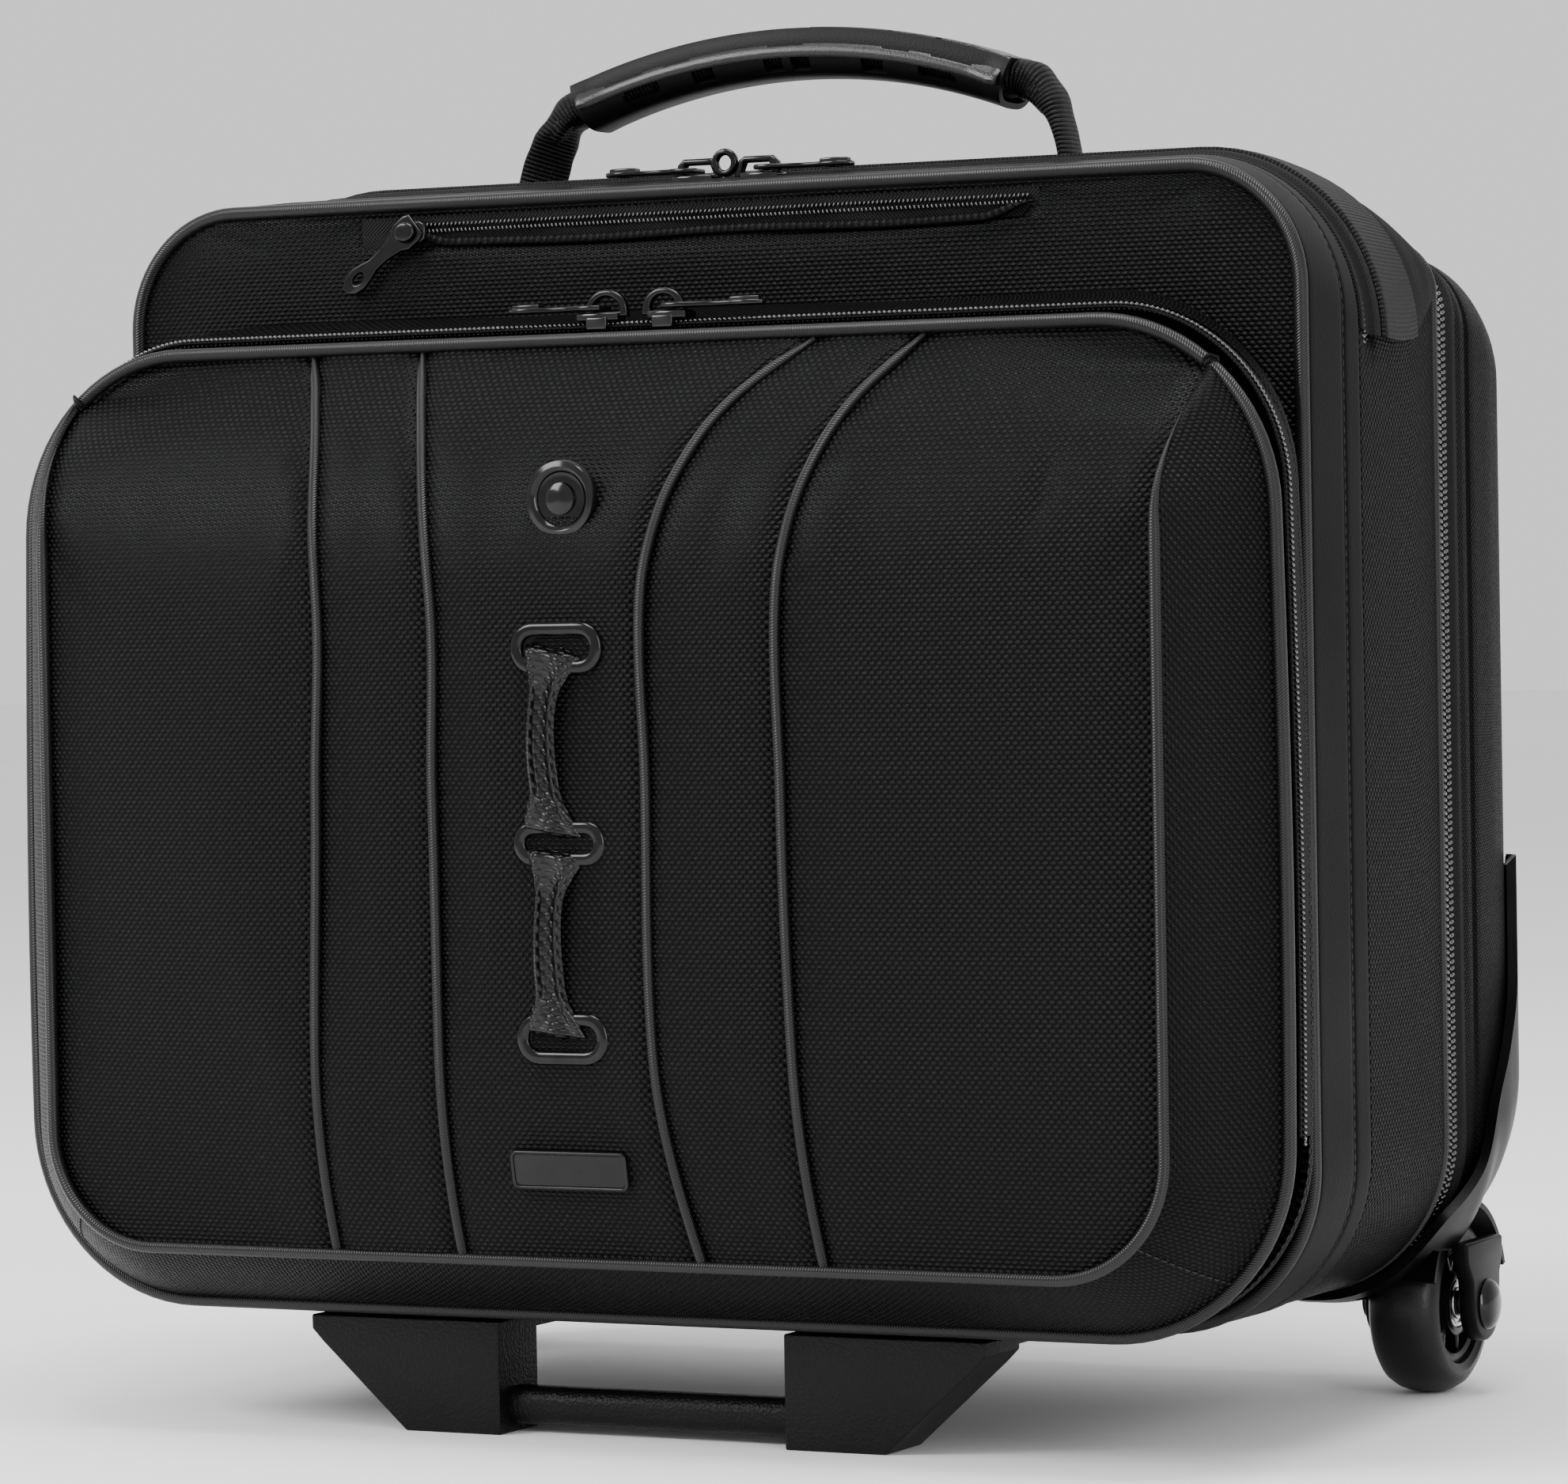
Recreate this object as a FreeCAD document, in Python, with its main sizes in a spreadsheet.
import FreeCAD, Part
import math
import os
import re
import Sketcher
from FreeCAD import Placement, Rotation, Vector

# A two-wheeled rolling laptop case, in millimetres.
# Frame: +Z up from the floor, +X to the case's left as it faces -Y, origin on the floor under its middle.
# The front section (laptop compartment, front pocket, kickstand) is the fixed body. The rear section, with
# the wheels and the telescopic trolley, opens backwards about the fabric hinge at its bottom edge.

os.makedirs("parts", exist_ok=True)
doc = FreeCAD.newDocument("RollingLaptopCase")

# ---------------------------------------------------------------- driving dimensions
DIMENSIONS = [
    # front section outline, at the seam where the front panel meets the gusset
    ("caseHalf", 206.5, "half width of the front section"),
    ("caseLow", 36, "underside of the front section"),
    ("caseHigh", 389, "top of the front seam"),
    ("cornerTop", 38, "top corner radius"),
    ("cornerLow", 50, "bottom corner radius"),
    ("gussetCorner", 46, "top corner radius at the gusset's front edge"),
    ("zipCorner", 52, "top corner radius at the main zip"),
    ("ridgeCorner", 59, "top corner radius at the ridge"),
    ("webbingCorner", 53, "top corner radius at the webbing's rear edge"),
    ("wallCorner", 20, "top corner radius at the front section's rear edge"),
    ("frontY", -46, "front seam plane"),
    ("bandY", -5, "rear edge of the smooth band"),
    ("wallY", 61, "rear edge of the front section"),
    ("ridgeHigh", 396, "highest line of the top"),
    ("ridgeY", 13, "front edge of the ribbed webbing on the top"),
    ("webbingY", 43, "rear edge of the ribbed webbing on the top"),
    ("webbingHigh", 392.5, "top surface at the webbing's rear edge"),
    ("wallHigh", 369, "top of the front section at its rear edge"),
    ("skin", 3, "thickness of the padded fabric walls"),
    ("coilThick", 2.5, "thickness of a zip's coil and tape"),
    ("seamGap", 0.4, "gap between neighbouring soft pieces"),
    ("pipe", 2.2, "radius of the main piping"),
    ("thinPipe", 1.5, "radius of the thin piping"),
    ("pipeSunk", 0.9, "how far the pipings' centre lines lie inside the fabric's outline"),
    ("sideZipLow", 335, "height where the top zip ends on the sides"),
    ("rise", 0.6, "how far the gusset's middle swells out to the sides"),
    ("ribbedThick", 1.6, "thickness of the ribbed webbing"),
    ("smallZipLeft", -107, "left end of the small top pocket's zip"),
    ("smallZipRight", 117, "right end of the small top pocket's zip"),
    ("smallZipLow", 377, "lower edge of the small zip"),
    ("smallZipHigh", 381.5, "upper edge of the small zip"),
    ("zipFront", 0, "front edge of the main zip's slot"),
    ("zipRear", 8, "rear edge of the main zip's slot"),
    # boards and laptop sleeve inside
    ("boardHalf", 150, "half length of the base board"),
    ("boardRearY", 20, "rear edge of the base board"),
    ("boardThick", 3, "thickness of the base board"),
    ("dividerHalf", 190, "half width of the file divider"),
    ("dividerLow", 47, "bottom of the file divider"),
    ("dividerHigh", 290, "top of the file divider"),
    ("dividerY", -12, "front face of the file divider"),
    ("sleeveHalf", 184, "half width of the laptop sleeve"),
    ("sleeveLow", 43, "bottom of the laptop sleeve"),
    ("sleeveHigh", 300, "top of the laptop sleeve"),
    ("sleeveY", 22, "front face of the laptop sleeve"),
    ("sleevePad", 10, "padding round the laptop"),
    # front pocket
    ("pocketHalf", 216.5, "half width at the outer piping"),
    ("pocketLow", 39.5, "bottom at the outer piping"),
    ("pocketHigh", 340, "top at the outer piping"),
    ("pocketCorner", 56, "corner radius at the outer piping"),
    ("pocketZipY", -80, "rear edge of the pocket zip"),
    ("pocketFlapY", -87, "rear edge of the opening part of the pocket"),
    ("pocketPipeY", -94, "plane of the pocket's outer piping"),
    ("panelY", -125, "plane of the pocket's inner piping"),
    ("panelHalf", 192, "half width at the inner piping"),
    ("panelLow", 59, "bottom at the inner piping"),
    ("panelHigh", 296, "top of the pocket's full depth"),
    ("panelCorner", 36, "corner radius at the inner piping"),
    ("crownY", -137, "front of the crowned pocket panel"),
    ("crownLow", 96, "bottom of the crown's flat"),
    ("crownHigh", 262, "top of the crown's flat"),
    ("crownCorner", 30, "corner radius of the crown's flat"),
    ("crownHalf", 150, "half width of the crown's flat"),
    ("foldHigh", 97, "height of the line where the pocket panel folds open"),
    # rear section
    ("rearY", 84, "front edge of the rear shell"),
    ("rearHigh", 367, "top of the rear shell"),
    ("rearLow", 37, "bottom of the rear shell at its front edge"),
    ("rearHalf", 205.5, "half width of the rear shell"),
    ("rearCornerLow", 48, "bottom corner radius of the rear shell"),
    ("rearCornerTop", 24, "top corner radius at the rear shell's front edge"),
    ("heelCornerTop", 34, "top corner radius where the bottom starts to round up"),
    ("calfCornerTop", 42, "top corner radius where the sides start to round in"),
    ("backCorner", 40, "corner radius of the rear face"),
    ("heelY", 112, "where the bottom starts to round up to the back"),
    ("heelLow", 47, "bottom of the rear shell there"),
    ("calfY", 128, "where the sides start to round in to the back"),
    ("calfLow", 62, "bottom of the rear shell there"),
    ("backY", 138, "rear face of the rear shell"),
    ("backHalf", 192, "half width of the rear face"),
    ("backHigh", 352, "top of the rear face"),
    ("backLow", 92, "bottom of the rear face"),
    ("guardGap", 0.4, "gap between the rear shell and a corner guard"),
    ("guardThick", 3.6, "thickness of a corner guard"),
    ("guardInner", 152, "inner edge of a corner guard from the middle"),
    ("guardHigh", 169, "top of a corner guard at the back"),
    # wheels
    ("wheelRadius", 29, "radius of the tyre"),
    ("wheelX", 184, "wheel centre from the middle"),
    ("wheelY", 104, "wheel centre"),
    ("tyreWidth", 24, "width of the tyre"),
    ("hubRadius", 20, "outer radius of the hub"),
    ("hubWidth", 20, "width of the hub"),
    ("hubWindow", 3.8, "radius of the windows through the hub"),
    ("bearingRadius", 8, "outer radius of a wheel bearing"),
    ("bearingWidth", 5, "width of a wheel bearing"),
    ("axleRadius", 4, "radius of the axle"),
    ("axlePlay", 0.05, "radial running clearance on the axle"),
    ("lugRadius", 12, "radius of the axle lugs' round ends"),
    ("lugHigh", 50, "top of the axle lugs, inside the wheel housing"),
    ("lugInner", 4, "thickness of the inner axle lug"),
    ("lugOuter", 6, "thickness of the outer axle lug"),
    # kickstand
    ("footInner", 50, "inner face of a foot from the middle"),
    ("footOuter", 118, "outer face of a foot from the middle"),
    ("footToe", 84, "outer end of a foot's flat underside"),
    ("footFrontY", -93, "front face of the feet"),
    ("footBackY", -68, "rear face of the feet"),
    ("footHigh", 35.6, "top of the feet and their arms"),
    ("armThick", 5, "thickness of the feet's arms under the case"),
    ("barRadius", 6.5, "radius of the crossbar"),
    ("barHigh", 8.5, "height of the crossbar's axis"),
    # trolley
    ("tubeX", 62, "trolley tubes from the middle"),
    ("tubeY", 118, "trolley tubes' plane"),
    ("outerTube", 10, "outer radius of the outer tubes"),
    ("middleTube", 8.8, "outer radius of the middle tubes"),
    ("innerTube", 7.6, "outer radius of the inner tubes"),
    ("tubeWall", 0.9, "wall of every trolley tube"),
    ("tubeLow", 66, "bottom of the outer tubes"),
    ("tubeHigh", 350, "top of the outer tubes"),
    ("cupHalf", 86, "half length of the trolley cup"),
    ("cupFrontY", 104, "front of the trolley cup"),
    ("cupRearY", 131.5, "rear of the trolley cup"),
    ("trolleyGripHigh", 371, "top of the stowed trolley grip"),
    ("buttonHalf", 16.6, "half length of the release button"),
    ("buttonDeep", 4.1, "half depth of the release button"),
    # carry handle
    ("handleY", 34, "plane of the carry handle"),
    ("gripPeak", 445, "highest point of the grip"),
    ("gripBend", 230, "radius of the grip's top curve"),
    ("gripWidth", 28, "width of the grip"),
    ("gripHalf", 79, "half length of the grip"),
    ("strapHalf", 6, "half width of the folded handle webbing"),
    ("legInner", 91, "inner face of the handle webbing where it is sewn down"),
    ("legOuter", 101, "outer face of the handle webbing there"),
    ("pivotHigh", 402.4, "height of the line about which the handle swings"),
    # badge, eyelets and plate
    ("badgeHigh", 291, "height of the badge"),
    ("badgeRadius", 12, "radius of the badge"),
    ("eyeletTop", 246, "height of the top eyelet"),
    ("eyeletMiddle", 187, "height of the middle eyelet"),
    ("eyeletLow", 128, "height of the bottom eyelet"),
    ("eyeletWide", 32, "length of an eyelet"),
    ("eyeletTall", 14, "height of an eyelet"),
    ("eyeletBar", 3.5, "width of the metal round an eyelet"),
    ("strapWide", 12, "width of the front strap"),
    ("strapThick", 1.4, "thickness of the front strap"),
    ("strapStandOff", 3.6, "gap between the pocket panel and the front strap"),
    ("plateHigh", 88, "height of the label plate"),
    ("plateHalf", 20, "half length of the label plate"),
    ("plateTall", 12, "height of the label plate's shape"),
]

sheet = doc.addObject("Spreadsheet::Sheet", "Sizes")
for row, (alias, number, meaning) in enumerate(DIMENSIONS, start=1):
    sheet.set("A%d" % row, meaning)
    sheet.set("B%d" % row, str(number))
    sheet.setAlias("B%d" % row, alias)
doc.recompute()
ALIASES = {alias for alias, number, meaning in DIMENSIONS}


def cell(expression):
    """Write a size expression out with its sheet, such as caseHalf - skin."""
    text = str(expression)
    return re.sub(r"[A-Za-z]\w*", lambda m: "Sizes." + m[0] if m[0] in ALIASES else m[0], text)


def size(expression):
    """The number that a size expression has now."""
    return float(sheet.evalExpression(cell(expression)))


def bind(thing, prop, expression):
    thing.setExpression(prop, cell(expression))


sub_parts = []


def keep(thing, label):
    """Name a finished sub-part and list it for export."""
    thing.Label = label
    sub_parts.append(thing)
    return thing


# ---------------------------------------------------------------- sketches and features
def new_body(label):
    return keep(doc.addObject("PartDesign::Body", "Body_" + label), label)


def sketch_on(body, role, offset):
    """A sketch on one of the body's own planes, moved along the plane's normal."""
    sketch = body.newObject("Sketcher::SketchObject", "Sketch")
    plane = [f for f in body.Origin.OriginFeatures if f.Role == role][0]
    sketch.AttachmentSupport = [(plane, "")]
    sketch.MapMode = "FlatFace"
    bind(sketch, "AttachmentOffset.Base.z", offset)
    return sketch


def front_sketch(body, y):
    """A sketch in the XZ plane at y. The plane's normal points to -Y."""
    return sketch_on(body, "XZ_Plane", "-(%s)" % y)


def fix(sketch, kind, geometry, point, expression):
    index = sketch.addConstraint(Sketcher.Constraint(kind, -1, 1, geometry, point, size(expression)))
    bind(sketch, "Constraints[%d]" % index, expression)


def rounded_loop(sketch, half, low, high, low_radius, high_radius):
    """A rectangle with round corners, symmetric about the sketch's vertical axis."""
    w, z0, z1 = size(half), size(low), size(high)
    r0, r1 = size(low_radius), size(high_radius)
    quarter = math.pi / 2
    start = sketch.GeometryCount
    line, arc = Part.LineSegment, Part.ArcOfCircle

    def corner(x, z, radius, turn):
        circle = Part.Circle(Vector(x, z, 0), Vector(0, 0, 1), radius)
        return arc(circle, turn * quarter, (turn + 1) * quarter)

    sketch.addGeometry([
        line(Vector(-w + r0, z0, 0), Vector(w - r0, z0, 0)), corner(w - r0, z0 + r0, r0, 3),
        line(Vector(w, z0 + r0, 0), Vector(w, z1 - r1, 0)), corner(w - r1, z1 - r1, r1, 0),
        line(Vector(w - r1, z1, 0), Vector(-w + r1, z1, 0)), corner(-w + r1, z1 - r1, r1, 1),
        line(Vector(-w, z1 - r1, 0), Vector(-w, z0 + r0, 0)), corner(-w + r0, z0 + r0, r0, 2),
    ])
    for i in range(8):
        here, following = start + i, start + (i + 1) % 8
        sketch.addConstraint(Sketcher.Constraint("Tangent", here, 2, following, 1))
    for i, kind in ((0, "Horizontal"), (2, "Vertical"), (4, "Horizontal"), (6, "Vertical")):
        sketch.addConstraint(Sketcher.Constraint(kind, start + i))
    fix(sketch, "DistanceY", start, 1, low)
    fix(sketch, "DistanceX", start + 2, 1, half)
    fix(sketch, "DistanceY", start + 4, 1, high)
    fix(sketch, "DistanceX", start + 6, 1, "-(%s)" % half)
    for i, radius in ((1, low_radius), (3, high_radius), (5, high_radius), (7, low_radius)):
        index = sketch.addConstraint(Sketcher.Constraint("Radius", start + i, size(radius)))
        bind(sketch, "Constraints[%d]" % index, radius)


def polygon_loop(sketch, points):
    """Straight edges through points, each given as two size expressions."""
    start = sketch.GeometryCount
    places = [Vector(size(a), size(b), 0) for a, b in points]
    count = len(places)
    for i in range(count):
        sketch.addGeometry(Part.LineSegment(places[i], places[(i + 1) % count]))
    for i in range(count):
        following = start + (i + 1) % count
        sketch.addConstraint(Sketcher.Constraint("Coincident", start + i, 2, following, 1))
    for i, (a, b) in enumerate(points):
        fix(sketch, "DistanceX", start + i, 1, a)
        fix(sketch, "DistanceY", start + i, 1, b)


def circle_loop(sketch, a, b, radius):
    centre = Vector(size(a), size(b), 0)
    index = sketch.addGeometry(Part.Circle(centre, Vector(0, 0, 1), size(radius)))
    fix(sketch, "DistanceX", index, 3, a)
    fix(sketch, "DistanceY", index, 3, b)
    number = sketch.addConstraint(Sketcher.Constraint("Radius", index, size(radius)))
    bind(sketch, "Constraints[%d]" % number, radius)


def pad(body, sketch, length):
    feature = body.newObject("PartDesign::Pad", "Pad")
    feature.Profile = sketch
    bind(feature, "Length", length)
    return feature


def cut_through(body, sketch, length):
    """Cut the sketch's shape out of the body, the same length to both sides of the sketch."""
    pocket = body.newObject("PartDesign::Pocket", "Pocket")
    pocket.Profile = sketch
    pocket.Midplane = True
    bind(pocket, "Length", length)
    return pocket


def loft(body, kind, sections):
    """A ruled loft through rounded rectangles, each (y, half, low, high, low radius, high radius)."""
    sketches = []
    for y, *outline in sections:
        sketch = front_sketch(body, y)
        rounded_loop(sketch, *outline)
        sketches.append(sketch)
    feature = body.newObject(kind, "Loft")
    feature.Profile = sketches[0]
    feature.Sections = sketches[1:]
    feature.Ruled = True
    return feature


def inset(section, by, forward="0"):
    """The same section with its outline moved inwards and its plane moved along Y."""
    y, half, low, high, low_radius, high_radius = section
    return ("%s + (%s)" % (y, forward), "%s - (%s)" % (half, by), "%s + (%s)" % (low, by),
            "%s - (%s)" % (high, by), "%s - (%s)" % (low_radius, by), "%s - (%s)" % (high_radius, by))


def lofted_shell(label, outer, inner):
    body = new_body(label)
    loft(body, "PartDesign::AdditiveLoft", outer)
    loft(body, "PartDesign::SubtractiveLoft", inner)
    return body


def slab(label, outline, y_front, y_back, hole=None):
    """A rounded plate, or a ring where a hole is given, between two planes of Y."""
    body = new_body(label)
    sketch = front_sketch(body, y_back)
    rounded_loop(sketch, *outline)
    if hole:
        rounded_loop(sketch, *hole)
    pad(body, sketch, "(%s) - (%s)" % (y_back, y_front))
    return body


def cut_band(body, low, high, y="0"):
    """Take away everything between two heights."""
    sketch = front_sketch(body, y)
    far = 300
    polygon_loop(sketch, [(-far, low), (far, low), (far, high), (-far, high)])
    cut_through(body, sketch, 2 * far)


def rounded_wire(half, low, high, low_radius, high_radius, y):
    """The same rounded rectangle as a closed wire, for shapes made by Part's own functions."""
    slant = math.sqrt(0.5)
    spots = []
    for x, z, r, side, up in ((half, low, low_radius, 1, 1), (half, high, high_radius, 1, -1),
                              (-half, high, high_radius, -1, -1), (-half, low, low_radius, -1, 1)):
        centre = Vector(x - side * r, y, z + up * r)
        flat = centre + Vector(0, 0, -up * r)
        wall = centre + Vector(side * r, 0, 0)
        middle = centre + Vector(side * r * slant, 0, -up * r * slant)
        first, last = (flat, wall) if side * up > 0 else (wall, flat)
        spots.append((first, middle, last))
    edges = []
    for i, (first, middle, last) in enumerate(spots):
        edges.append(Part.Arc(first, middle, last).toShape())
        edges.append(Part.LineSegment(last, spots[(i + 1) % 4][0]).toShape())
    return Part.Wire(edges)


def piping(half, low, high, low_radius, high_radius, y, radius):
    """A round piping that follows a rounded rectangle in a plane of Y."""
    path = rounded_wire(*(size(e) for e in (half, low, high, low_radius, high_radius, y)))
    begin = path.Edges[0].valueAt(path.Edges[0].FirstParameter)
    along = path.Edges[0].tangentAt(path.Edges[0].FirstParameter)
    section = Part.Wire(Part.Circle(begin, along, size(radius)).toShape())
    return path.makePipeShell([section], True, True)


def solid_loft(sections):
    """The filled shape that a lofted shell's outer sections enclose."""
    wires = [rounded_wire(*(size(e) for e in section[1:] + section[:1])) for section in sections]
    return Part.makeLoft(wires, True, True)


def slice_between(shape, low, high):
    """The part of a shape between two heights."""
    far = 600
    block = Part.makeBox(far, far, high - low, Vector(-far / 2, -far / 2, low))
    return shape.common(block)


def feature(label, shape, place=Placement()):
    """A sub-part whose shape is built by Part's own functions from sizes read out of the sheet."""
    thing = keep(doc.addObject("Part::Feature", "Feature_" + label), label)
    thing.Shape = shape
    thing.Placement = place
    return thing


# ---------------------------------------------------------------- front section
SEAM = ("frontY + 2.8", "caseHalf", "caseLow", "caseHigh", "cornerLow", "cornerTop")


def front_section():
    outline = ("caseHalf", "caseLow", "caseHigh", "cornerLow", "cornerTop")
    panel = inset(SEAM, "pipe + 1.4")[1:]
    slab("front_panel", panel, "frontY", "frontY + 4")
    slab("smooth_band", outline, "frontY + pipe + 0.4", "bandY - seamGap / 2",
         inset(SEAM, "skin")[1:])

    # the gusset rises to a ridge under the carry handle and falls to the rear edge
    stations = [
        ("bandY + seamGap / 2", "caseHalf", "caseLow", "caseHigh + 3", "cornerLow", "gussetCorner"),
        ("ridgeY", "caseHalf + rise", "caseLow", "ridgeHigh", "cornerLow", "ridgeCorner"),
        ("webbingY", "caseHalf + rise", "caseLow", "webbingHigh", "cornerLow", "webbingCorner"),
        ("wallY - seamGap", "caseHalf", "caseLow", "wallHigh", "cornerLow", "wallCorner"),
    ]
    gusset = lofted_shell("woven_gusset", stations, [inset(s, "skin") for s in stations])
    slot = sketch_on(gusset, "YZ_Plane", "0")
    polygon_loop(slot, [("zipFront", "sideZipLow"), ("zipRear", "sideZipLow"),
                        ("zipRear", "ridgeHigh + 10"), ("zipFront", "ridgeHigh + 10")])
    cut_through(gusset, slot, "2 * caseHalf + 40")

    coil = ("zipFront + 0.5", "caseHalf + 0.9", "caseLow", "ridgeHigh - 2.2", "cornerLow", "zipCorner")
    chain = slab("main_zip", coil[1:], "zipFront + 0.5", "zipRear - 0.5", inset(coil, "coilThick")[1:])
    cut_band(chain, 0, "sideZipLow + 0.5")

    ribbed = [
        ("ridgeY + 1", "caseHalf + 0.8 + ribbedThick", "caseLow", "ridgeHigh + 1.7", "cornerLow",
         "ridgeCorner"),
        ("webbingY - 1", "caseHalf + 0.8 + ribbedThick", "caseLow", "webbingHigh + 1.8", "cornerLow",
         "webbingCorner"),
    ]
    under = [
        ("ridgeY + 1", "caseHalf + 0.8", "caseLow + 2", "ridgeHigh + 0.2", "cornerLow", "ridgeCorner - 1"),
        ("webbingY - 1", "caseHalf + 0.8", "caseLow + 2", "webbingHigh + 0.3", "cornerLow",
         "webbingCorner - 1"),
    ]
    band = lofted_shell("top_webbing", ribbed, under)
    cut_band(band, 0, "sideZipLow + 0.5")

    y, half, low, high, low_radius, high_radius = inset(SEAM, "skin + 1.5")
    slab("rear_wall", (half, low, "wallHigh - skin - 1.5", low_radius, high_radius), "wallY - 4", "wallY - 1")
    main = piping("caseHalf - pipeSunk", "caseLow + pipeSunk", "caseHigh - pipeSunk",
                  "cornerLow", "cornerTop", "frontY", "pipe")
    thin = piping("caseHalf - pipeSunk", "caseLow + pipeSunk", "wallHigh - pipeSunk",
                  "cornerLow", "wallCorner", "wallY + thinPipe + 0.1", "thinPipe")
    feature("case_pipings", Part.Compound([main, thin]))
    box("top_pocket_zip", ("smallZipLeft", "frontY - 2.4", "smallZipLow"),
        ("smallZipRight", "frontY - 0.1", "smallZipHigh"))


def box(label, low, high):
    """A Part::Box between two corners, each three size expressions."""
    thing = keep(doc.addObject("Part::Box", "Box_" + label), label)
    for prop, place, a, b in zip(("Length", "Width", "Height"), "xyz", low, high):
        bind(thing, prop, "(%s) - (%s)" % (b, a))
        bind(thing, "Placement.Base." + place, a)
    return thing


def inside_front_section():
    box("base_board", ("-boardHalf", "frontY + 8", "caseLow + skin + 0.3"),
        ("boardHalf", "boardRearY", "caseLow + skin + boardThick + 0.3"))
    slab("file_divider", ("dividerHalf", "dividerLow", "dividerHigh", "40", "8"), "dividerY", "dividerY + 2")
    sleeve = slab("laptop_sleeve", ("sleeveHalf", "sleeveLow", "sleeveHigh", "44", "10"),
                  "sleeveY", "wallY - 4.5")
    space = front_sketch(sleeve, "wallY - 4")
    wall, floor, mouth = "sleeveHalf - sleevePad", "sleeveLow + sleevePad", "sleeveHigh + 20"
    polygon_loop(space, [("-(%s)" % wall, floor), (wall, floor), (wall, mouth), ("-(%s)" % wall, mouth)])
    pocket = sleeve.newObject("PartDesign::Pocket", "Pocket")
    pocket.Profile = space
    bind(pocket, "Length", "wallY - 4 - sleeveY - 8")
    pocket.Reversed = True
    return pocket


# ---------------------------------------------------------------- front pocket
POCKET = ("pocketPipeY", "pocketHalf", "pocketLow", "pocketHigh", "pocketCorner", "pocketCorner")
PANEL = ("panelY", "panelHalf", "panelLow", "panelHigh", "panelCorner", "panelCorner")
CROWN = ("crownY", "crownHalf", "crownLow", "crownHigh", "crownCorner", "crownCorner")


def front_pocket():
    top = "pocketHigh + 7"
    ring = [
        ("frontY - pipe - 0.3", "caseHalf - 8", "caseLow + 9", "pocketHigh + 11", "44", "50"),
        ("pocketZipY + 1", "pocketHalf - 1.5", "pocketLow", top, "pocketCorner", "pocketCorner"),
    ]
    lofted_shell("pocket_gusset", ring, [inset(s, "skin") for s in ring])

    chain = slab("pocket_zip",
                 ("pocketHalf - 0.5", "pocketLow", "pocketHigh + 6", "pocketCorner", "pocketCorner"),
                 "pocketFlapY + 0.5", "pocketZipY + 0.5",
                 ("pocketHalf - 0.5 - coilThick", "pocketLow + coilThick", "pocketHigh + 6 - coilThick",
                  "pocketCorner - 2", "pocketCorner - 2"))
    cut_band(chain, 0, "foldHigh")

    # the upper part opens with the zip, and the lower part stays sewn to the gusset
    back = ("pocketFlapY", "pocketHalf - 1", "pocketLow", "pocketHigh + 3", "pocketCorner", "pocketCorner")
    outer = [back, POCKET, PANEL, CROWN]
    inner = [inset(back, "skin"), inset(POCKET, "skin"), inset(PANEL, "4", "2"), inset(CROWN, "6", "skin")]
    flap = lofted_shell("pocket_flap_panel", outer, inner)
    cut_band(flap, 0, "foldHigh + 0.3", "pocketFlapY")

    sewn = ("pocketZipY + 0.6", "pocketHalf - 1.5", "pocketLow", top, "pocketCorner", "pocketCorner")
    outer[0] = sewn
    inner[0] = inset(sewn, "skin")
    lower = lofted_shell("pocket_lower_panel", outer, inner)
    cut_band(lower, "foldHigh - 0.3", "500", "pocketFlapY")

    edge = piping("pocketHalf + 0.6", "pocketLow - 0.6", "pocketHigh + 0.6", "pocketCorner", "pocketCorner",
                  "pocketPipeY - pipe + 1", "pipe - 0.3")
    for sections in ([back, POCKET], [sewn, POCKET], [POCKET, PANEL, CROWN]):
        edge = edge.cut(solid_loft(sections))
    split = size("foldHigh")
    feature("flap_piping", slice_between(edge, split + 0.3, 500))
    feature("lower_piping", slice_between(edge, 0, split - 0.3))


def front_badges():
    """Badge, three eyelets, their strap and the plate, which stand on the crowned panel."""
    badge = new_body("badge")
    sketch = front_sketch(badge, "crownY - 0.1")
    circle_loop(sketch, "0", "badgeHigh", "badgeRadius")
    pad(badge, sketch, "2.6")

    eyelets = new_body("eyelets")
    for height in ("eyeletTop", "eyeletMiddle", "eyeletLow"):
        sketch = front_sketch(eyelets, "crownY - 0.1")
        bar_loop(sketch, height, "eyeletWide / 2", "eyeletTall / 2")
        bar_loop(sketch, height, "eyeletWide / 2 - eyeletBar - 0.5", "eyeletTall / 2 - eyeletBar")
        ring = pad(eyelets, sketch, "3")
    eyelets.Tip = ring

    strap = new_body("front_strap")
    side = sketch_on(strap, "YZ_Plane", "0")
    near = "crownY - strapStandOff"
    far = near + " - strapThick"
    polygon_loop(side, [(near, "eyeletTop"), (near, "eyeletLow"), (far, "eyeletLow"), (far, "eyeletTop")])
    band = pad(strap, side, "strapWide")
    band.Midplane = True

    plate = new_body("label_plate")
    sketch = front_sketch(plate, "crownY + 0.6")
    bar_loop(sketch, "plateHigh", "plateHalf", "plateTall / 2")
    pad(plate, sketch, "1.4")


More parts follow.
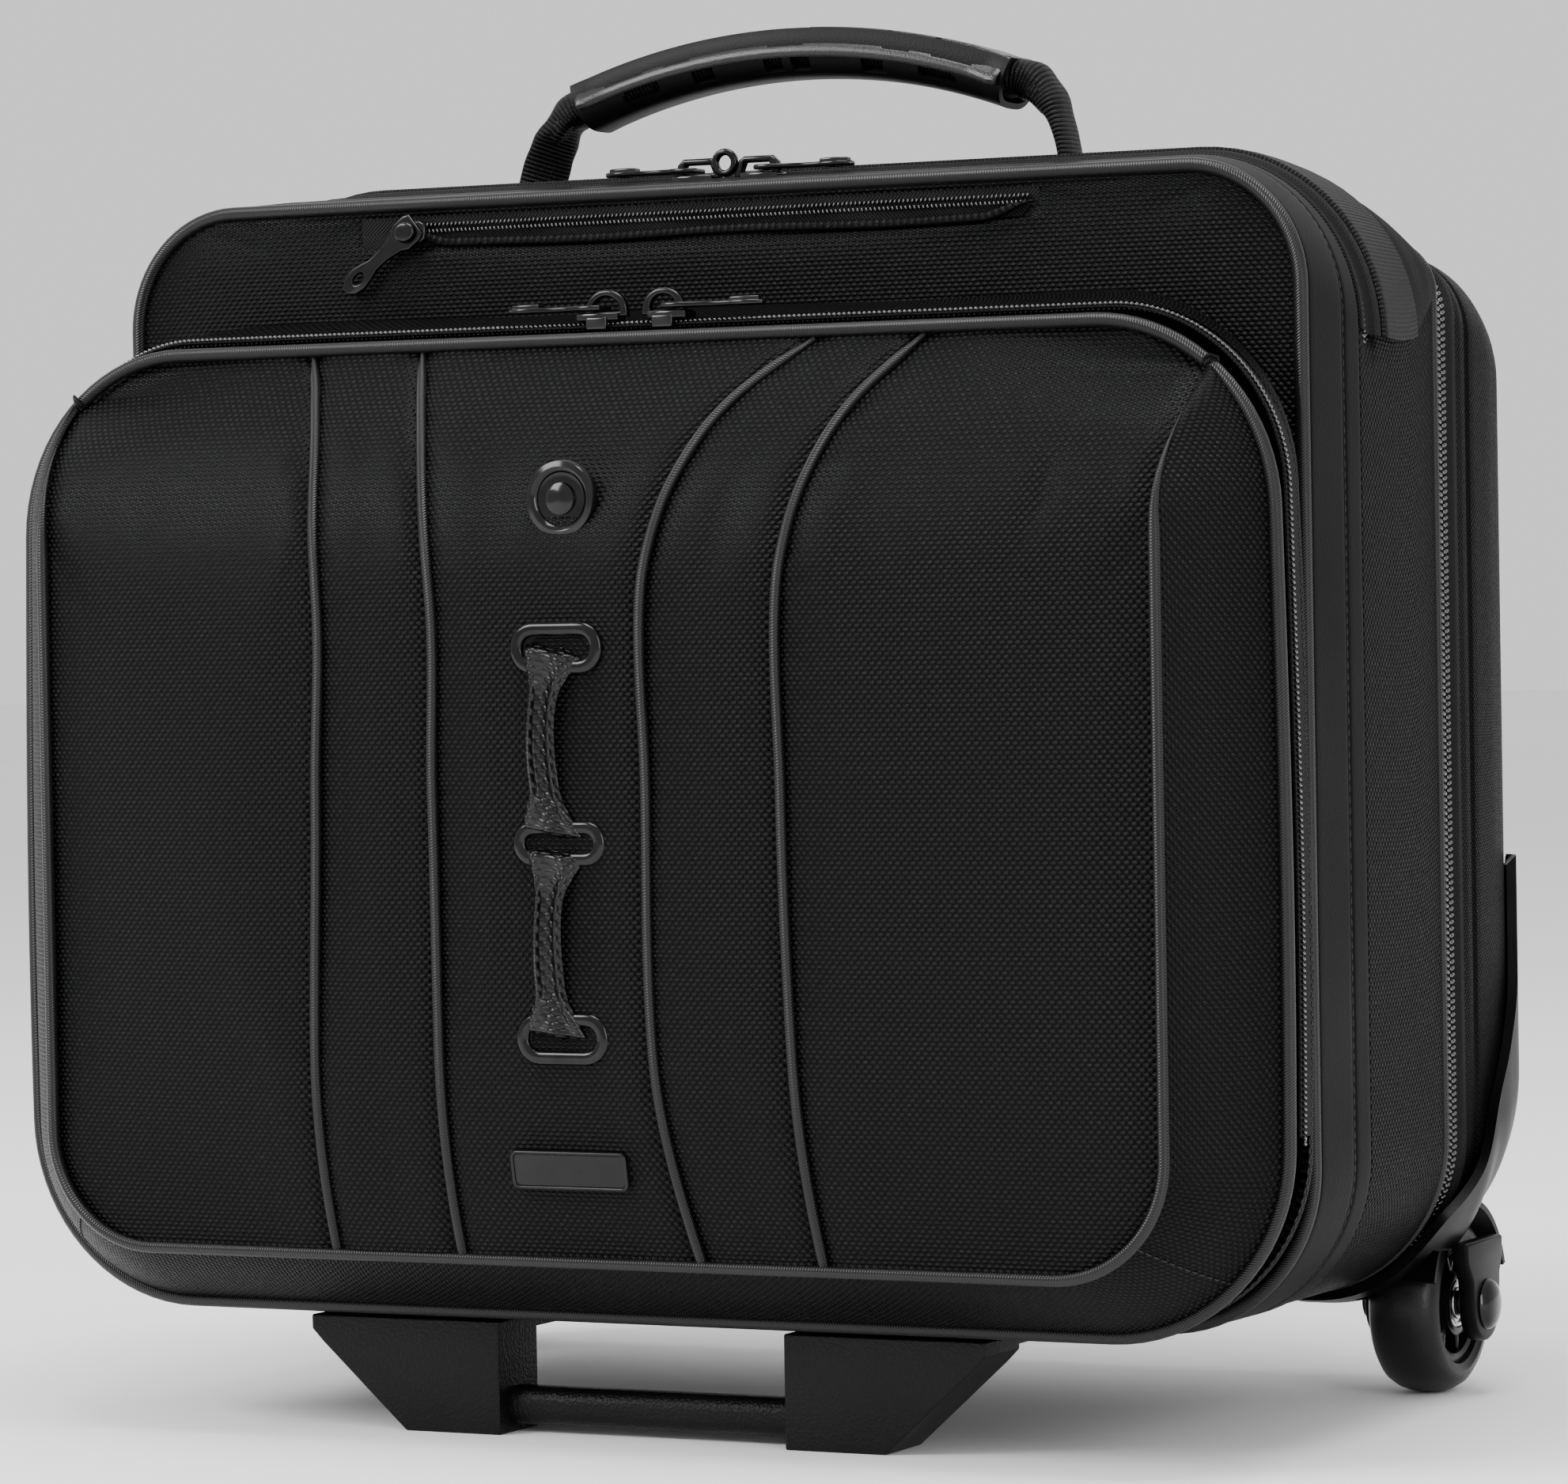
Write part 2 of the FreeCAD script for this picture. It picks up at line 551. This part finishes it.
def bar_loop(sketch, height, half_long, half_tall):
    """A slot shape with round ends, lying across the sketch's vertical axis."""
    r, w, z = size(half_tall), size(half_long), size(height)
    start = sketch.GeometryCount
    quarter = math.pi / 2
    right = Part.Circle(Vector(w - r, z, 0), Vector(0, 0, 1), r)
    left = Part.Circle(Vector(-w + r, z, 0), Vector(0, 0, 1), r)
    sketch.addGeometry([
        Part.LineSegment(Vector(-w + r, z - r, 0), Vector(w - r, z - r, 0)),
        Part.ArcOfCircle(right, -quarter, quarter),
        Part.LineSegment(Vector(w - r, z + r, 0), Vector(-w + r, z + r, 0)),
        Part.ArcOfCircle(left, quarter, 3 * quarter),
    ])
    for i in range(4):
        sketch.addConstraint(Sketcher.Constraint("Tangent", start + i, 2, start + (i + 1) % 4, 1))
    sketch.addConstraint(Sketcher.Constraint("Horizontal", start))
    fix(sketch, "DistanceY", start + 1, 3, height)
    fix(sketch, "DistanceX", start + 1, 3, "(%s) - (%s)" % (half_long, half_tall))
    fix(sketch, "DistanceX", start + 3, 3, "(%s) - (%s)" % (half_tall, half_long))
    index = sketch.addConstraint(Sketcher.Constraint("Radius", start + 1, r))
    bind(sketch, "Constraints[%d]" % index, half_tall)


# ---------------------------------------------------------------- kickstand
def kickstand():
    for label, side in (("foot_right", 1), ("foot_left", -1)):
        foot = new_body(label)
        front = front_sketch(foot, "footBackY")
        outline = [("footInner", "0"), ("footToe", "0"), ("footOuter - 4", "27"), ("footOuter", "31"),
                   ("footOuter", "footHigh"), ("footInner", "footHigh")]
        polygon_loop(front, [("%d * (%s)" % (side, x), z) for x, z in outline])
        pad(foot, front, "footBackY - footFrontY")
        arm = front_sketch(foot, "0")
        corners = [("footInner + 4", "footHigh - armThick"), ("footOuter - 6", "footHigh - armThick"),
                   ("footOuter - 6", "footHigh"), ("footInner + 4", "footHigh")]
        polygon_loop(arm, [("%d * (%s)" % (side, x), z) for x, z in corners])
        pad(foot, arm, "0 - footBackY")
        groove = sketch_on(foot, "YZ_Plane", "%d * (footInner + footOuter) / 2" % side)
        seat = [("frontY - pipe - 0.8", "caseLow - 1.8"), ("frontY + pipe + 0.8", "caseLow - 1.8"),
                ("frontY + pipe + 0.8", "footHigh + 4"), ("frontY - pipe - 0.8", "footHigh + 4")]
        polygon_loop(groove, seat)
        cut_through(foot, groove, "footOuter")
    bar = keep(doc.addObject("Part::Cylinder", "Bar"), "foot_bar")
    bind(bar, "Radius", "barRadius")
    bind(bar, "Height", "2 * footInner")
    bar.Placement = Placement(Vector(), Rotation(Vector(0, 1, 0), 90))
    bind(bar, "Placement.Base.x", "-footInner")
    bind(bar, "Placement.Base.y", "(footFrontY + footBackY) / 2")
    bind(bar, "Placement.Base.z", "barHigh")

    screws = []
    low, high = size("footHigh - armThick"), size("caseLow + skin + boardThick + 0.3")
    shank_radius, head_radius, head_high = 2, 3.5, 2
    for x in (-104, -64, 64, 104):
        for y in (-30, -12):
            shank = Part.makeCylinder(shank_radius, high - low, Vector(x, y, low))
            head = Part.makeCylinder(head_radius, head_high, Vector(x, y, high))
            screws.append(shank.fuse(head))
    feature("foot_screws", Part.Compound(screws))


# ---------------------------------------------------------------- rear section
HEEL = [
    ("rearY", "rearHalf", "rearLow", "rearHigh", "rearCornerLow", "rearCornerTop"),
    ("heelY", "rearHalf + 0.5", "heelLow", "rearHigh", "rearCornerLow", "heelCornerTop"),
    ("calfY", "rearHalf - 2.5", "calfLow", "rearHigh - 3", "rearCornerLow - 2", "calfCornerTop"),
    ("backY", "backHalf", "backLow", "backHigh", "backCorner", "backCorner"),
]


def rear_section():
    inner = [inset(s, "skin") for s in HEEL[:2]]
    inner += [inset(HEEL[2], "skin + 1"), inset(HEEL[3], "skin + 1", "-skin")]
    shell = lofted_shell("rear_shell", HEEL, inner)
    # the trolley cup drops in through the top, and the wheels need room in the bottom corners
    top = sketch_on(shell, "XY_Plane", "rearHigh")
    rectangle = [("-cupHalf + 4", "cupFrontY + 0.6"), ("cupHalf - 4", "cupFrontY + 0.6"),
                 ("cupHalf - 4", "cupRearY - 0.6"), ("-cupHalf + 4", "cupRearY - 0.6")]
    polygon_loop(top, rectangle)
    cut_through(shell, top, "30")
    cut_wheel_wells(shell)

    tape = ("rearY", "rearHalf - 0.5", "rearLow", "rearHigh", "rearCornerLow", "rearCornerTop")
    hole = ("rearHalf - 3.5",) + inset(tape, "skin")[2:]
    chain = slab("rear_zip", tape[1:], "wallY + 3.5", "rearY - seamGap", hole)
    cut_wheel_wells(chain)
    slab("rear_board", ("backHalf - 12", "backLow + 18", "backHigh - 9", "30", "30"),
         "backY - 7", "backY - 4.6")


def cut_wheel_wells(body):
    """Make room for both wheels in the bottom corners."""
    inner, outer, high = "wheelX - tyreWidth / 2 - 7", "rearHalf + 20", "2 * wheelRadius + 7"
    for side in (1, -1):
        well = front_sketch(body, "wheelY")
        corners = [(inner, "0"), (outer, "0"), (outer, high), (inner, high)]
        polygon_loop(well, [("%d * (%s)" % (side, x), z) for x, z in corners])
        cut_through(body, well, "2 * wheelRadius + 13")


# the guard's front edge, and the line under which its heel is cut away, both as Y and Z
GUARD_EDGE = [("66", "55"), ("88", "73"), ("108", "94"), ("122", "118"), ("128", "guardHigh")]
GUARD_HEEL = [("99", "20"), ("99", "36.5"), ("114", "43"), ("126", "52"), ("134", "63"), ("139", "76")]


def corner_guard(label, side):
    """A moulded shell round the bottom rear corner, with the wheel housing and two axle arms."""
    front = ("wallY + 5",) + HEEL[0][1:]
    sides = [front] + HEEL[:3]
    grow = [inset(s, "-guardGap - guardThick") for s in sides]
    core = [inset(s, "-guardGap") for s in sides]
    grow.append(inset(HEEL[3], "-guardThick", "guardGap + guardThick"))
    core.append(inset(HEEL[3], "-guardGap", "guardGap"))
    guard = lofted_shell(label, grow, core)
    away = front_sketch(guard, "heelY")
    polygon_loop(away, [("%d * (%s)" % (side, x), z) for x, z in
                        (("guardInner", "0"), ("guardInner", "500"), ("-400", "500"), ("-400", "0"))])
    cut_through(guard, away, "200")
    sweep = sketch_on(guard, "YZ_Plane", "0")
    polygon_loop(sweep, [("50", "55")] + GUARD_EDGE + [("200", "guardHigh"), ("200", "500"), ("50", "500")])
    cut_through(guard, sweep, "1000")

    inner_wall = "wheelX - tyreWidth / 2 - 2"
    outer_wall = "wheelX + tyreWidth / 2 + 2"
    inner_face, outer_face = inner_wall + " - lugInner", outer_wall + " + lugOuter"
    roof = "2 * wheelRadius + 6"
    block = front_sketch(guard, "wheelY + wheelRadius + 6")
    corners = [(inner_face, "31"), (outer_face, "31"), (outer_face, "56"), (outer_wall + " - 6", roof),
               (inner_face, roof)]
    polygon_loop(block, [("%d * (%s)" % (side, x), z) for x, z in corners])
    pad(guard, block, "2 * wheelRadius + 12")
    heel = sketch_on(guard, "YZ_Plane", "0")
    polygon_loop(heel, GUARD_HEEL + [("150", "76"), ("150", "20")])
    cut_through(guard, heel, "1000")
    for near, far in ((inner_face, inner_wall), (outer_wall, outer_face)):
        lug = sketch_on(guard, "YZ_Plane", "%d * (%s)" % (side, far if side > 0 else near))
        lug_loop(lug)
        arm = pad(guard, lug, "(%s) - (%s)" % (far, near))
        arm.Reversed = True
    room = sketch_on(guard, "YZ_Plane", "%d * wheelX" % side)
    circle_loop(room, "wheelY", "wheelRadius", "wheelRadius + 2.5")
    cut_through(guard, room, "tyreWidth + 4")
    bore = sketch_on(guard, "YZ_Plane", "%d * wheelX" % side)
    circle_loop(bore, "wheelY", "wheelRadius", "axleRadius")
    cut_through(guard, bore, "tyreWidth + 40")


def lug_loop(sketch):
    """An axle lug: straight sides down from the housing and a round end about the axle."""
    r, high = size("lugRadius"), size("lugHigh")
    y, z = size("wheelY"), size("wheelRadius")
    start = sketch.GeometryCount
    circle = Part.Circle(Vector(y, z, 0), Vector(0, 0, 1), r)
    sketch.addGeometry([
        Part.ArcOfCircle(circle, math.pi, 2 * math.pi),
        Part.LineSegment(Vector(y + r, z, 0), Vector(y + r, high, 0)),
        Part.LineSegment(Vector(y + r, high, 0), Vector(y - r, high, 0)),
        Part.LineSegment(Vector(y - r, high, 0), Vector(y - r, z, 0)),
    ])
    for i in range(4):
        kind = "Tangent" if i in (0, 3) else "Coincident"
        sketch.addConstraint(Sketcher.Constraint(kind, start + i, 2, start + (i + 1) % 4, 1))
    sketch.addConstraint(Sketcher.Constraint("Vertical", start + 1))
    sketch.addConstraint(Sketcher.Constraint("Horizontal", start + 2))
    sketch.addConstraint(Sketcher.Constraint("Vertical", start + 3))
    fix(sketch, "DistanceX", start, 3, "wheelY")
    fix(sketch, "DistanceY", start, 3, "wheelRadius")
    fix(sketch, "DistanceY", start + 1, 2, "lugHigh")
    sketch.addConstraint(Sketcher.Constraint("Radius", start, r))


def across(label, x, length, radius, y, z):
    """A plain cylinder along +X."""
    rod = doc.addObject("Part::Cylinder", label)
    bind(rod, "Radius", radius)
    bind(rod, "Height", length)
    rod.Placement = Placement(Vector(), Rotation(Vector(0, 1, 0), 90))
    for place, value in (("x", x), ("y", y), ("z", z)):
        bind(rod, "Placement.Base." + place, value)
    return rod


def cut_of(label, base, tool):
    thing = doc.addObject("Part::Cut", label)
    thing.Base = base
    thing.Tool = tool
    return thing


def wheel(side, name):
    """Tyre, spoked hub and two bearings on one axle line."""
    y, z = "wheelY", "wheelRadius"
    start = "%d * wheelX - tyreWidth / 2" % side
    disc = across("Disc_" + name, start, "tyreWidth", "wheelRadius", y, z)
    doc.recompute()
    tread = doc.addObject("Part::Fillet", "Tread_" + name)
    tread.Base = disc
    shoulder = 9.0
    circles = [i + 1 for i, edge in enumerate(disc.Shape.Edges) if isinstance(edge.Curve, Part.Circle)]
    tread.Edges = [(i, shoulder, shoulder) for i in circles]
    hole = across("Hole_" + name, start, "tyreWidth", "hubRadius", y, z)
    keep(cut_of("Tyre_" + name, tread, hole), "tyre_" + name)

    hub = new_body("hub_" + name)
    face = sketch_on(hub, "YZ_Plane", "%d * wheelX" % side)
    circle_loop(face, y, z, "hubRadius")
    circle_loop(face, y, z, "bearingRadius")
    disc = pad(hub, face, "hubWidth")
    disc.Midplane = True
    spokes = 5
    for i in range(spokes):
        turn = 2 * math.pi * i / spokes
        window = sketch_on(hub, "YZ_Plane", "%d * wheelX" % side)
        reach = "(hubRadius + bearingRadius) / 2"
        circle_loop(window, "%s + %s * (%.6f)" % (y, reach, math.cos(turn)),
                    "%s + %s * (%.6f)" % (z, reach, math.sin(turn)), "hubWindow")
        cut_through(hub, window, "hubWidth + 2")

    rings = []
    width, along = size("bearingWidth"), Vector(1, 0, 0)
    for end in (-1, 1):
        offset = (size("hubWidth") - width) / 2 * end - width / 2
        corner = Vector(side * size("wheelX") + offset, size(y), size(z))
        outer = Part.makeCylinder(size("bearingRadius"), width, corner, along)
        bore = Part.makeCylinder(size("axleRadius + axlePlay"), width, corner, along)
        rings.append(outer.cut(bore))
    feature("bearings_" + name, Part.Compound(rings))


def axles():
    """Two axles, each with a domed cap outside its guard."""
    rods = []
    cap_radius = 8.0
    cap_high = 3.5
    for side in (1, -1):
        low = size("wheelX - tyreWidth / 2") - 9
        high = size("wheelX + tyreWidth / 2") + 8
        start = Vector(side * low, size("wheelY"), size("wheelRadius"))
        rod = Part.makeCylinder(size("axleRadius"), high - low, start, Vector(side, 0, 0))
        end = Vector(side * high, size("wheelY"), size("wheelRadius"))
        cap = Part.makeCylinder(cap_radius, cap_high, end, Vector(side, 0, 0))
        rim = [edge for edge in cap.Edges
               if isinstance(edge.Curve, Part.Circle) and abs(edge.CenterOfMass.x) > high + cap_high / 2]
        rods.append(rod.fuse(cap.makeFillet(cap_high - 0.5, rim)))
    feature("axles", Part.Compound(rods))


# ---------------------------------------------------------------- telescopic trolley
def tube_pair(label, radius, low, high):
    """Two round tubes along +Z."""
    tubes = []
    for side in (-1, 1):
        spot = Vector(side * size("tubeX"), size("tubeY"), size(low))
        length = size("(%s) - (%s)" % (high, low))
        outside = Part.makeCylinder(size(radius), length, spot)
        tubes.append(outside.cut(Part.makeCylinder(size("(%s) - tubeWall" % radius), length, spot)))
    feature(label, Part.Compound(tubes))


def trolley():
    cup = new_body("trolley_cup")
    rim = sketch_on(cup, "XY_Plane", "rearHigh + 0.3")
    polygon_loop(rim, [("-cupHalf", "cupFrontY - 3"), ("cupHalf", "cupFrontY - 3"),
                       ("cupHalf", "calfY - 4"), ("-cupHalf", "calfY - 4")])
    pad(cup, rim, "1.6")
    walls = sketch_on(cup, "XY_Plane", "tubeHigh - 4")
    polygon_loop(walls, [("-cupHalf + 4.4", "cupFrontY + 1"), ("cupHalf - 4.4", "cupFrontY + 1"),
                         ("cupHalf - 4.4", "cupRearY - 1"), ("-cupHalf + 4.4", "cupRearY - 1")])
    pad(cup, walls, "rearHigh + 1.9 - tubeHigh + 4")
    hollow = sketch_on(cup, "XY_Plane", "tubeHigh")
    polygon_loop(hollow, [("-cupHalf + 6", "cupFrontY + 3"), ("cupHalf - 6", "cupFrontY + 3"),
                          ("cupHalf - 6", "cupRearY - 3"), ("-cupHalf + 6", "cupRearY - 3")])
    inside = cup.newObject("PartDesign::Pocket", "Pocket")
    inside.Profile = hollow
    bind(inside, "Length", "40")
    inside.Reversed = True
    holes = sketch_on(cup, "XY_Plane", "tubeHigh")
    for side in (-1, 1):
        circle_loop(holes, "%d * tubeX" % side, "tubeY", "outerTube")
    cut_through(cup, holes, "20")

    bracket = new_body("tube_bracket")
    block = sketch_on(bracket, "XY_Plane", "tubeLow")
    polygon_loop(block, [("-cupHalf", "tubeY - 13"), ("cupHalf", "tubeY - 13"),
                         ("cupHalf", "tubeY + 5"), ("-cupHalf", "tubeY + 5")])
    pad(bracket, block, "14")
    seats = sketch_on(bracket, "XY_Plane", "tubeLow + 14")
    for side in (-1, 1):
        circle_loop(seats, "%d * tubeX" % side, "tubeY", "outerTube")
    cut_through(bracket, seats, "24")

    tube_pair("outer_tubes", "outerTube", "tubeLow + 2.1", "tubeHigh")
    tube_pair("middle_tubes", "middleTube", "tubeLow + 4", "tubeHigh + 0.3")
    tube_pair("inner_tubes", "innerTube", "tubeLow + 6", "tubeHigh + 1.6")

    low, high = "tubeHigh + 1.6", "trolleyGripHigh"
    lower = new_body("trolley_grip_lower")
    base = sketch_on(lower, "XY_Plane", low)
    grip_outline(base)
    pad(lower, base, "8")
    upper = new_body("trolley_grip_upper")
    top = sketch_on(upper, "XY_Plane", low + " + 8.1")
    grip_outline(top)
    pad(upper, top, "%s - (%s) - 8.1" % (high, low))
    opening = sketch_on(upper, "XY_Plane", high)
    front, rear = "tubeY - buttonDeep - 0.4", "tubeY + buttonDeep + 0.4"
    half = "buttonHalf + 0.4"
    polygon_loop(opening, [("-(%s)" % half, front), (half, front), (half, rear), ("-(%s)" % half, rear)])
    slot = upper.newObject("PartDesign::Pocket", "Pocket")
    slot.Profile = opening
    bind(slot, "Length", "8")
    box("release_button", ("-buttonHalf", "tubeY - buttonDeep", high + " - 4"),
        ("buttonHalf", "tubeY + buttonDeep", high + " + 2.5"))


def grip_outline(sketch):
    half = "cupHalf - 8"
    polygon_loop(sketch, [("-(%s)" % half, "tubeY - 9"), (half, "tubeY - 9"),
                          (half, "tubeY + 8"), ("-(%s)" % half, "tubeY + 8")])


# ---------------------------------------------------------------- carry handle
def arc_in(sketch, radius, half):
    """An arc about the grip's bend centre, from -half to +half across."""
    r, x, low = size(radius), size(half), size("gripPeak - gripBend")
    turn = math.asin(x / r)
    circle = Part.Circle(Vector(0, low, 0), Vector(0, 0, 1), r)
    index = sketch.addGeometry(Part.ArcOfCircle(circle, math.pi / 2 - turn, math.pi / 2 + turn))
    fix(sketch, "DistanceX", index, 3, "0")
    fix(sketch, "DistanceY", index, 3, "gripPeak - gripBend")
    fix(sketch, "DistanceX", index, 1, half)
    fix(sketch, "DistanceX", index, 2, "-(%s)" % half)
    number = sketch.addConstraint(Sketcher.Constraint("Radius", index, r))
    bind(sketch, "Constraints[%d]" % number, radius)
    return index


def joined(sketch, first, second):
    """A straight edge between two ends, each (geometry, point)."""
    def spot(end):
        return sketch.getPoint(*end)
    index = sketch.addGeometry(Part.LineSegment(spot(first), spot(second)))
    sketch.addConstraint(Sketcher.Constraint("Coincident", index, 1, *first))
    sketch.addConstraint(Sketcher.Constraint("Coincident", index, 2, *second))
    return index


def carry_handle():
    for label, outer, inner in (("grip_upper", "gripBend", "gripBend - 6"),
                                ("grip_lower", "gripBend - 10.6", "gripBend - 17")):
        shell = new_body(label)
        sketch = front_sketch(shell, "handleY")
        top = arc_in(sketch, outer, "gripHalf")
        low = arc_in(sketch, inner, "gripHalf")
        joined(sketch, (top, 1), (low, 1))
        joined(sketch, (top, 2), (low, 2))
        grip = pad(shell, sketch, "gripWidth")
        grip.Midplane = True

    webbing = new_body("handle_webbing")
    sketch = front_sketch(webbing, "handleY")
    top = arc_in(sketch, "gripBend - 6.3", "gripHalf + 4")
    low = arc_in(sketch, "gripBend - 10.3", "gripHalf + 0.6")
    foot = size("pivotHigh - strapHalf")
    near, far = size("legInner"), size("legOuter")
    for side, end in ((1, 1), (-1, 2)):
        base = sketch.addGeometry(Part.LineSegment(Vector(side * far, foot, 0), Vector(side * near, foot, 0)))
        fix(sketch, "DistanceX", base, 1, "%d * legOuter" % side)
        fix(sketch, "DistanceY", base, 1, "pivotHigh - strapHalf")
        fix(sketch, "DistanceX", base, 2, "%d * legInner" % side)
        fix(sketch, "DistanceY", base, 2, "pivotHigh - strapHalf")
        joined(sketch, (top, end), (base, 1))
        joined(sketch, (low, end), (base, 2))
    band = pad(webbing, sketch, "2 * strapHalf")
    band.Midplane = True
    doc.recompute()
    ends = ["Edge%d" % (i + 1) for i, edge in enumerate(band.Shape.Edges)
            if abs(edge.BoundBox.ZMax - foot) < 0.01 and edge.BoundBox.YLength < 0.01]
    round_ends = webbing.newObject("PartDesign::Fillet", "Fillet")
    round_ends.Base = (band, ends)
    bind(round_ends, "Radius", "strapHalf - 0.1")


# ---------------------------------------------------------------- zip sliders and pulls
def slider(name, place, towards, eye=0):
    """A zip slider with a bridge, and its pull, which lies flat towards -1 or +1 along X."""
    body = new_body(name + "_slider")
    side = front_sketch(body, "0")
    polygon_loop(side, [("-7", "0"), ("7", "0"), ("7", "2.4"), ("4.2", "2.9"), ("4.2", "7.2"),
                        ("-4.2", "7.2"), ("-4.2", "2.9"), ("-7", "2.4")])
    polygon_loop(side, [("-2.8", "2.9"), ("2.8", "2.9"), ("2.8", "5.7"), ("-2.8", "5.7")])
    block = pad(body, side, "5")
    block.Midplane = True
    if eye:
        ring = front_sketch(body, str(eye * 1.4))
        circle_loop(ring, str(-towards * 8.5), "6.4", "4.6")
        circle_loop(ring, str(-towards * 8.5), "6.4", "2.7")
        loop = pad(body, ring, "2.2")
        loop.Midplane = True
    pull = new_body(name + "_pull")
    flat = sketch_on(pull, "XY_Plane", "3.5")
    tip = [("-0.8", "5"), ("-0.8", "-5"), ("30", "-3.6"), ("33", "0"), ("30", "3.6")]
    polygon_loop(flat, [("%d * (%s)" % (towards, a), b) for a, b in tip])
    window = [("0.8", "-3.1"), ("5.6", "-3.1"), ("5.6", "3.1"), ("0.8", "3.1")]
    polygon_loop(flat, [("%d * (%s)" % (towards, a), b) for a, b in window])
    pad(pull, flat, "1.6")
    for thing in (body, pull):
        for letter, value in zip("xyz", place):
            bind(thing, "Placement.Base." + letter, value)


def small_slider(name, place, hang):
    """A zip slider that stands out from the front panel, with a pull that hangs round its post."""
    outwards = Rotation(Vector(1, 0, 0), 90)
    body = new_body(name + "_slider")
    base = sketch_on(body, "XY_Plane", "0")
    polygon_loop(base, [("-6", "-3"), ("6", "-3"), ("6", "3"), ("-6", "3")])
    pad(body, base, "2")
    post = sketch_on(body, "XY_Plane", "2")
    circle_loop(post, "0", "0", "1.5")
    pad(body, post, "3.2")
    head = sketch_on(body, "XY_Plane", "4.2")
    circle_loop(head, "0", "0", "3")
    pad(body, head, "1.2")
    pull = new_body(name + "_pull")
    flat = sketch_on(pull, "XY_Plane", "2.3")
    polygon_loop(flat, [("-3.5", "3.5"), ("-3.5", "-3.5"), ("26", "-2.6"), ("29", "0"), ("26", "2.6")])
    circle_loop(flat, "0", "0", "1.9")
    pad(pull, flat, "1.5")
    body.Placement = Placement(Vector(), outwards)
    pull.Placement = Placement(Vector(), outwards * Rotation(Vector(0, 0, 1), hang))
    for thing in (body, pull):
        for letter, value in zip("xyz", place):
            bind(thing, "Placement.Base." + letter, value)


def sliders():
    zip_y = "(zipFront + zipRear) / 2"
    slider("main_left", ("-24", zip_y, "ridgeHigh - 2.2 + 0.3"), -1, eye=1)
    slider("main_right", ("0", zip_y, "ridgeHigh - 2.2 + 0.3"), 1, eye=-1)
    slider("pocket_left", ("-12", "pocketZipY - 3", "pocketHigh + 6.3"), -1, eye=1)
    slider("pocket_right", ("12", "pocketZipY - 3", "pocketHigh + 6.3"), 1, eye=-1)
    small_slider("top_pocket", ("-100", "frontY - 2.7", "379.2"), 218)
    slider("rear", ("150", "rearY - 8", "rearHigh + 0.3"), -1)


front_section()
inside_front_section()
front_pocket()
front_badges()
kickstand()
rear_section()
corner_guard("corner_guard_right", 1)
corner_guard("corner_guard_left", -1)
wheel(1, "right")
wheel(-1, "left")
axles()
trolley()
carry_handle()
sliders()

doc.recompute()
for thing in doc.Objects:
    if "Invalid" in thing.State or "Error" in thing.State:
        raise RuntimeError("%s failed: %s" % (thing.Label, thing.State))
for thing in sub_parts:
    if thing.Shape.isNull() or not thing.Shape.isValid():
        raise RuntimeError("%s has no valid shape" % thing.Label)
    thing.Shape.exportStep("parts/%s.step" % thing.Label)
